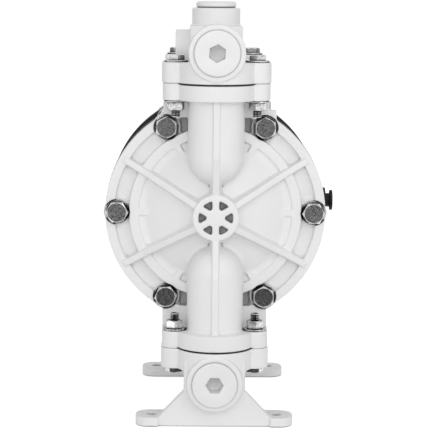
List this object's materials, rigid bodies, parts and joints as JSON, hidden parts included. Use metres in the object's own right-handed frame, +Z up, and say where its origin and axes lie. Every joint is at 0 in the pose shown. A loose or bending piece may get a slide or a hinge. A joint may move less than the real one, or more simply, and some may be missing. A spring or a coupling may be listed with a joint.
{
  "type": "diaphragm pump",
  "caption": "Air operated double diaphragm pump with ribbed white plastic covers, bolted manifolds on a footed base, black centre section and plated hex bolts.",
  "frame": {"origin": "centre of the four foot holes, on the floor under the feet", "axes": "+Z up, +Y along the diaphragm axis from the front cover to the rear cover, +X to the exhaust side"},
  "size_m": [0.152, 0.1812, 0.2693],
  "materials": {
    "white_plastic": "moulded satin polypropylene",
    "plug_plastic": "moulded satin polypropylene",
    "black_rubber": "matt",
    "seat_plastic": "machined",
    "ball_plastic": "polished",
    "black_plastic": "moulded satin, fibre filled",
    "bearing_bronze": "machined",
    "plain_steel": "ground",
    "plate_aluminium": "machined",
    "plate_plastic": "moulded",
    "plated_steel": "zinc plated"
  },
  "bodies": {
    "pump_body": {"front_fluid_cover": "white_plastic", "rear_fluid_cover": "white_plastic", "discharge_manifold": "white_plastic", "suction_manifold": "white_plastic", "front_discharge_plug": "plug_plastic", "rear_discharge_plug": "plug_plastic", "front_suction_plug": "plug_plastic", "rear_suction_plug": "plug_plastic", "top_port_plug": "plug_plastic", "plug_seals": "black_rubber", "discharge_gaskets": "black_rubber", "suction_gaskets": "black_rubber", "front_suction_seat": "seat_plastic", "rear_suction_seat": "seat_plastic", "front_discharge_seat": "seat_plastic", "rear_discharge_seat": "seat_plastic", "front_suction_cage": "seat_plastic", "rear_suction_cage": "seat_plastic", "front_discharge_cage": "seat_plastic", "rear_discharge_cage": "seat_plastic", "front_air_chamber": "black_plastic", "rear_air_chamber": "black_plastic", "centre_body": "black_plastic", "front_diaphragm": "black_rubber", "rear_diaphragm": "black_rubber", "shaft_bushes": "bearing_bronze", "shaft_seals": "black_rubber", "chamber_screws": "plain_steel", "valve_body": "black_plastic", "valve_gasket": "black_rubber", "valve_sleeve": "plate_aluminium", "upper_valve_cap": "black_plastic", "lower_valve_cap": "black_plastic", "valve_screws": "plain_steel", "valve_cap_screws": "plain_steel", "exhaust_silencer": "black_plastic", "front_cover_bolts": "plated_steel", "rear_cover_bolts": "plated_steel", "front_cover_washers": "plated_steel", "rear_cover_washers": "plated_steel", "front_cover_nuts": "plated_steel", "rear_cover_nuts": "plated_steel", "discharge_bolts": "plated_steel", "discharge_washers": "plated_steel", "discharge_nuts": "plated_steel", "suction_bolts": "plated_steel", "suction_washers": "plated_steel", "suction_nuts": "plated_steel"},
    "shaft_assembly": {"diaphragm_shaft": "plain_steel", "front_inner_plate": "plate_aluminium", "rear_inner_plate": "plate_aluminium", "front_outer_plate": "plate_plastic", "rear_outer_plate": "plate_plastic"},
    "pilot": {"pilot_rod": "plain_steel"},
    "spool": {"valve_spool": "plate_aluminium"},
    "front_suction_check": {"front_suction_ball": "ball_plastic"},
    "rear_suction_check": {"rear_suction_ball": "ball_plastic"},
    "front_discharge_check": {"front_discharge_ball": "ball_plastic"},
    "rear_discharge_check": {"rear_discharge_ball": "ball_plastic"}
  },
  "joints": [
    {"name": "shaft_slide", "type": "slide", "parent": "pump_body", "child": "shaft_assembly", "axis": [0, 1, 0], "range_m": [-0.007, 0.007], "deforming": ["front_diaphragm", "rear_diaphragm"]},
    {"name": "pilot_slide", "type": "slide", "parent": "pump_body", "child": "pilot", "axis": [0, 1, 0], "range_m": [-0.004, 0.004]},
    {"name": "spool_slide", "type": "slide", "parent": "pump_body", "child": "spool", "axis": [0, 0, 1], "range_m": [0, 0.008]},
    {"name": "front_suction_lift", "type": "slide", "parent": "pump_body", "child": "front_suction_check", "axis": [0, 0, 1], "range_m": [0, 0.005]},
    {"name": "rear_suction_lift", "type": "slide", "parent": "pump_body", "child": "rear_suction_check", "axis": [0, 0, 1], "range_m": [0, 0.005]},
    {"name": "front_discharge_lift", "type": "slide", "parent": "pump_body", "child": "front_discharge_check", "axis": [0, 0, 1], "range_m": [0, 0.005]},
    {"name": "rear_discharge_lift", "type": "slide", "parent": "pump_body", "child": "rear_discharge_check", "axis": [0, 0, 1], "range_m": [0, 0.005]}
  ],
  "couplings": [
    {"joint": "pilot_slide", "follows": "shaft_slide", "ratio": 0.5714}
  ]
}
